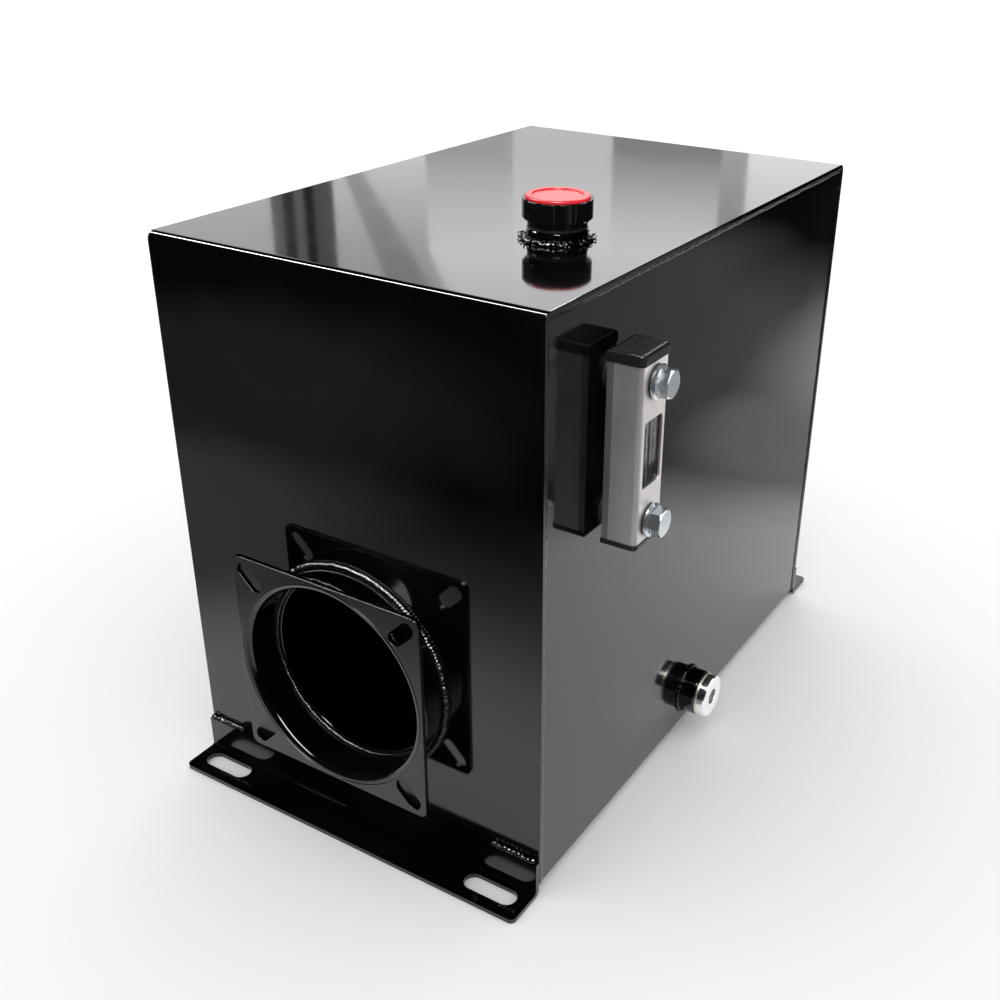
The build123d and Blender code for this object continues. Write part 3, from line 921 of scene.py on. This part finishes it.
# panels behind the tank, mirrored in its top: azimuths of their edges, then the glow below and above
backStand = Vector((0.394, -0.629, 0.172))
backDistance = 3.4
backRise = (6.5, 11.0, 15.5, 26.0)   # elevations between which the glow changes
edgeLean = {-40.6: 0.35, -39.5: 0.58}   # edges that lean, degrees for each degree above leanFrom
leanFrom = 13.0
backPanels = {
    "left": (-64.0, -44.35, 1.35, 1.4),
    "streakEdge": (-44.35, -43.8, 0.30, 0.38),
    "streakDark": (-43.8, -43.3, 0.09, 0.10),
    "streakPost": (-43.3, -42.85, 0.28, 0.38),
    "streakBlack": (-42.85, -42.4, 0.04, 0.05),
    "streakInner": (-42.4, -41.5, 0.21, 0.25),
    "slim": (-41.5, -40.6, 1.6, 1.3),
    "grey": (-40.6, -39.5, 0.85, 0.8),
    "pale": (-39.5, -37.2, 1.65, 1.3),
    "tall": (-37.2, -33.2, 0.85, 2.25),
    "middle": (-33.2, -28.6, 1.3, 2.3),
    "low": (-28.6, -23.6, 0.55, 2.3),
    "gap": (-23.6, -22.4, 0.95, 0.9),
    "right": (-22.4, -10.0, 2.0, 1.9),
}


def aim(azimuth, elevation):
    a, e = radians(azimuth), radians(elevation)
    return Vector((sin(a) * cos(e), cos(a) * cos(e), sin(e)))


def makePanel(name, box):
    direction = aim(box["azimuth"], box["elevation"])
    data = bpy.data.lights.new(name, "AREA")
    data.shape = "RECTANGLE"
    data.size, data.size_y = box["size"]
    data.energy = box["glow"] * pi * data.size * data.size_y
    made = bpy.data.objects.new(name, data)
    turn = (-direction).to_track_quat("-Z", "Y").to_matrix().to_4x4()
    made.matrix_world = Matrix.Translation(tankMiddle + direction * box["distance"]) @ turn
    made.visible_camera = False
    bpy.context.scene.collection.objects.link(made)
    receivers = bpy.data.collections.new(name + "Receivers")
    for pieceName in box.get("lights", pieceNames):
        if pieceName not in box.get("spares", ()):
            receivers.objects.link(bpy.data.objects[pieceName])
    made.light_linking.receiver_collection = receivers
    return made


pieceNames = [thing.name for thing in bpy.context.scene.objects if thing.type == "MESH"]
for name, box in softboxes.items():
    makePanel(name, box)
for name, box in glints.items():
    makePanel(name, box).visible_diffuse = False


def stagePiece(name, points, faces, look):
    mesh = bpy.data.meshes.new(name)
    mesh.from_pydata(points, [], faces)
    mesh.materials.append(look)
    made = bpy.data.objects.new(name, mesh)
    bpy.context.scene.collection.objects.link(made)
    return made


def panelGlow(tree):
    glow = tree.add("ShaderNodeAttribute", {"attribute_name": "glow"}, output="Fac")
    return tree.add("ShaderNodeEmission", {}, {"Color": (1.0, 1.0, 1.0, 1.0), "Strength": glow})


def makeBackdrop():
    points = []
    faces = []
    glows = []
    for left, right, below, above in backPanels.values():
        for row in range(len(backRise) - 1):
            first = len(points) + 2 * row
            faces.append((first, first + 1, first + 3, first + 2))
        for elevation, glow in zip(backRise, (below, below, above, above)):
            for azimuth in (left, right):
                leaned = azimuth + edgeLean.get(azimuth, 0.0) * (elevation - leanFrom)
                points.append(tuple(backStand + aim(leaned, elevation) * backDistance))
            glows += [glow, glow]
    made = stagePiece("backdrop", points, faces, surfaceMaterial("panelGlow", panelGlow))
    made.data.attributes.new("glow", "FLOAT", "POINT").data.foreach_set("value", glows)
    made.visible_camera = False
    made.visible_shadow = False


makeBackdrop()

floorLook = {
    "pale": (0.80, 0.82),        # darkest and lightest reflectance
    "cloudSize": 0.3,
    "halfWidth": 14.0,
    "drop": 0.1 * mm,            # how far it lies below the mirrored floor
    # from here to the stops: a painted pool of light, seen only in reflections, fading away from the
    # tank, with a painted glow
    "pool": (0.95, 0.95, 0.95, 1.0),
    "poolHalfWidth": 1.6,
    "poolGlow": 0.13,
    "poolReach": 0.4,            # metres from the tank to the end of the near pool
    "poolStops": ((0.26, 1.0), (0.38, 0.8), (0.5, 0.46), (0.62, 0.22), (0.8, 0.06), (1.0, 0.0)),
    "patchEdge": (1.35, 0.65),   # where a patch ends and where it is whole, in half widths
}
# the floor that the paint mirrors gets further painted patches of brightness: middle, half widths,
# brightness
floorPatches = {
    "left": ((-0.42, -0.40), (0.24, 0.16), 0.3),
    "leftFar": ((-0.62, -0.66), (0.34, 0.24), 0.10),
    "rightNear": ((0.22, 0.08), (0.17, 0.26), 1.0),
    "right": ((0.52, 0.62), (0.22, 0.46), 0.21),
    "rightFar": ((0.62, 0.80), (0.14, 0.40), 0.22),
    "rightGap": ((0.24, 0.50), (0.12, 0.17), 0.42),
    "rightRear": ((0.20, 0.88), (0.17, 0.40), 0.68),
}


def paleFloor(tree):
    low, high = floorLook["pale"]
    cloud = noise(tree, objectPlace(tree), floorLook["cloudSize"], 2.0)
    return tree.add("ShaderNodeBsdfDiffuse", {}, {"Color": blend(tree, cloud, (low,) * 3, (high,) * 3)})


# a floor seen only in reflections: a painted pool of light near the tank and in the painted patches,
# with a painted glow added
def brightPool(tree):
    away = []
    for axis, half in (("X", tankHigh.x), ("Y", tankHigh.y)):
        place = tree.add("ShaderNodeTexCoord", output="Object")
        part = tree.add("ShaderNodeSeparateXYZ", {}, {"Vector": place}, output=axis)
        away.append(largest(abs(part) - half, 0.0))
    reach = (away[0] * away[0] + away[1] * away[1]) ** 0.5
    kept = tree.add("ShaderNodeValToRGB", {"stops": floorLook["poolStops"]}, {
        "Fac": reach / floorLook["poolReach"]})
    for (x, y), (halfX, halfY), brightness in floorPatches.values():
        offset = length(tree, objectPlace(tree, (x, y, 0), (1 / halfX, 1 / halfY, 0)))
        kept = largest(kept, band(tree, offset, *floorLook["patchEdge"]) * brightness)
    white = tree.add("ShaderNodeBsdfDiffuse", {}, {"Color": floorLook["pool"]})
    # painted glow on top of the lamps' light
    lift = tree.add("ShaderNodeEmission", {}, {
        "Color": floorLook["pool"], "Strength": floorLook["poolGlow"]})
    lit = tree.add("ShaderNodeAddShader", {}, {0: white, 1: lift})
    clear = tree.add("ShaderNodeBsdfTransparent")
    return tree.add("ShaderNodeMixShader", {}, {"Fac": kept, 1: clear, 2: lit})


def makeSquare(name, half, z, look):
    corners = [(-half, -half, z), (half, -half, z), (half, half, z), (-half, half, z)]
    return stagePiece(name, corners, [(0, 1, 2, 3)], look)


floorFinish = surfaceMaterial("paleFloor", paleFloor)
floor = makeSquare("floor", floorLook["halfWidth"], -floorLook["drop"], floorFinish)
floor.visible_glossy = False
poolFinish = surfaceMaterial("brightPool", brightPool)
pool = makeSquare("floorPool", floorLook["poolHalfWidth"], 0.0, poolFinish)
pool.visible_camera = False
pool.visible_diffuse = False
pool.visible_shadow = False

roomLook = {"diffuse": (1.32, 1.32, 1.33, 1.0), "mirrored": (0.010, 0.010, 0.011, 1.0)}
world = bpy.data.worlds.new("studio")
bpy.context.scene.world = world
world.use_nodes = True
world.node_tree.nodes.clear()
worldTree = Tree(world.node_tree)
room = worldTree.add("ShaderNodeBackground", {}, {"Color": roomLook["diffuse"], "Strength": 1.0})
dark = worldTree.add("ShaderNodeBackground", {}, {"Color": roomLook["mirrored"], "Strength": 1.0})
glossy = worldTree.add("ShaderNodeLightPath", output="Is Glossy Ray")
surroundings = worldTree.add("ShaderNodeMixShader", {}, {"Fac": glossy, 1: room, 2: dark})
worldTree.add("ShaderNodeOutputWorld", {}, {"Surface": surroundings})
bpy.context.scene.view_settings.view_transform = "Standard"
print("studio ready")
